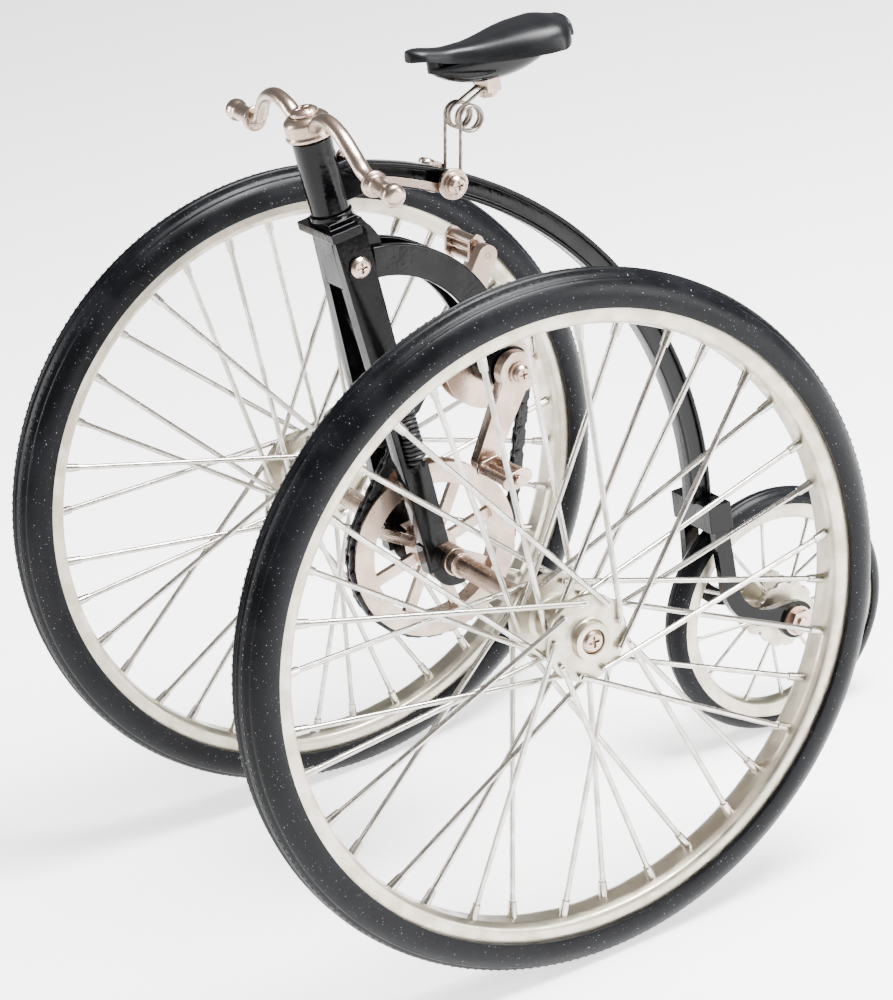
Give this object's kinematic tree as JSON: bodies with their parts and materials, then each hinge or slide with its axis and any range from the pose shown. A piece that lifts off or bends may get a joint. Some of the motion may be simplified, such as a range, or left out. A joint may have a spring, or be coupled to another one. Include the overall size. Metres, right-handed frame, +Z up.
{
  "type": "tricycle",
  "caption": "Miniature antique tricycle: large spoked front wheels on a steered axle, chain drive, curved backbone, sprung saddle and a small rear wheel",
  "frame": {"origin": "on the ground, under the middle of the whole machine's bounding box", "axes": "+X to the rider's left, -Y forwards, +Z up"},
  "size_m": [0.1468, 0.204, 0.197],
  "materials": {
    "black_enamel": "gloss black enamel",
    "saddle_enamel": "gloss black, softly worn",
    "black_rubber": "matt black rubber with pale dust",
    "rim_nickel": "satin nickel plate, cream tinted",
    "spoke_steel": "satin nickel-plated wire",
    "warm_nickel": "polished nickel plate, warm and slightly worn",
    "spring_steel": "bare spring wire",
    "black_steel": "blackened steel, semi-gloss",
    "brass": "plain brass"
  },
  "bodies": {
    "frame": {"backbone": "black_enamel", "backbone_lug": "black_enamel", "backbone_screws": "warm_nickel", "head_tube": "black_enamel", "head_bushes": "brass", "spring_bolt": "warm_nickel", "spring_washers": "warm_nickel", "spring_straps": "warm_nickel", "saddle_springs": "spring_steel", "rear_crown": "black_enamel", "rear_fork_left": "black_enamel", "rear_fork_right": "black_enamel", "rear_axle": "warm_nickel", "rear_nuts": "warm_nickel"},
    "rear_wheel": {"tyre_rear": "black_rubber", "rim_rear": "rim_nickel", "spokes_rear": "spoke_steel", "hub_rear": "rim_nickel"},
    "steering": {"steering_column": "spoke_steel", "head_cap": "warm_nickel", "head_screw": "warm_nickel", "handlebar": "warm_nickel", "grip_left": "warm_nickel", "grip_right": "warm_nickel", "fork_crown": "black_enamel", "fork_left": "black_enamel", "fork_right": "black_enamel", "fork_springs": "black_steel", "axle_bearings": "warm_nickel", "bracket_left": "black_enamel", "bracket_right": "black_enamel", "bracket_screws": "warm_nickel", "crank_bushes": "black_enamel", "chain": "black_steel"},
    "front_axle": {"axle": "warm_nickel", "axle_sprocket": "warm_nickel", "hub_left": "rim_nickel", "hub_right": "rim_nickel", "hub_screws": "warm_nickel", "spokes_left": "spoke_steel", "spokes_right": "spoke_steel", "rim_left": "rim_nickel", "rim_right": "rim_nickel", "tyre_left": "black_rubber", "tyre_right": "black_rubber"},
    "cranks": {"crank_axle": "warm_nickel", "crank_sprocket": "warm_nickel", "crank_left": "warm_nickel", "crank_right": "warm_nickel", "crank_screws": "warm_nickel", "pedal_spindles": "warm_nickel"},
    "pedal_left": {"pedal_frame_left": "warm_nickel", "pedal_rollers_left": "warm_nickel"},
    "pedal_right": {"pedal_frame_right": "warm_nickel", "pedal_rollers_right": "warm_nickel"},
    "saddle": {"saddle_top": "saddle_enamel", "saddle_frame": "saddle_enamel", "saddle_clamp": "warm_nickel", "saddle_screw": "warm_nickel", "spring_arms": "spring_steel"}
  },
  "joints": [
    {"name": "steer", "type": "hinge", "parent": "frame", "child": "steering", "pos_m": [0, -0.0246, 0.08], "axis": [0, -0.1045, 0.9945], "range_deg": [-15, 15]},
    {"name": "axle_spin", "type": "hinge", "parent": "steering", "child": "front_axle", "pos_m": [0, -0.022, 0.08], "axis": [1, 0, 0], "continuous": true},
    {"name": "crank_spin", "type": "hinge", "parent": "steering", "child": "cranks", "pos_m": [0, -0.001, 0.1215], "axis": [1, 0, 0], "continuous": true},
    {"name": "pedal_left_spin", "type": "hinge", "parent": "cranks", "child": "pedal_left", "pos_m": [0.02455, -0.01266, 0.10284], "axis": [1, 0, 0], "continuous": true},
    {"name": "pedal_right_spin", "type": "hinge", "parent": "cranks", "child": "pedal_right", "pos_m": [-0.02455, 0.01066, 0.14016], "axis": [1, 0, 0], "continuous": true},
    {"name": "rear_spin", "type": "hinge", "parent": "frame", "child": "rear_wheel", "pos_m": [0, 0.07, 0.032], "axis": [1, 0, 0], "continuous": true},
    {"name": "saddle_rock", "type": "hinge", "parent": "frame", "child": "saddle", "pos_m": [0, 0.0028, 0.17855], "axis": [1, 0, 0], "range_deg": [-3, 3], "stiffness_Nm_per_rad": 0.15}
  ],
  "couplings": [
    {"joint": "crank_spin", "follows": "axle_spin", "ratio": 1.8077}
  ]
}
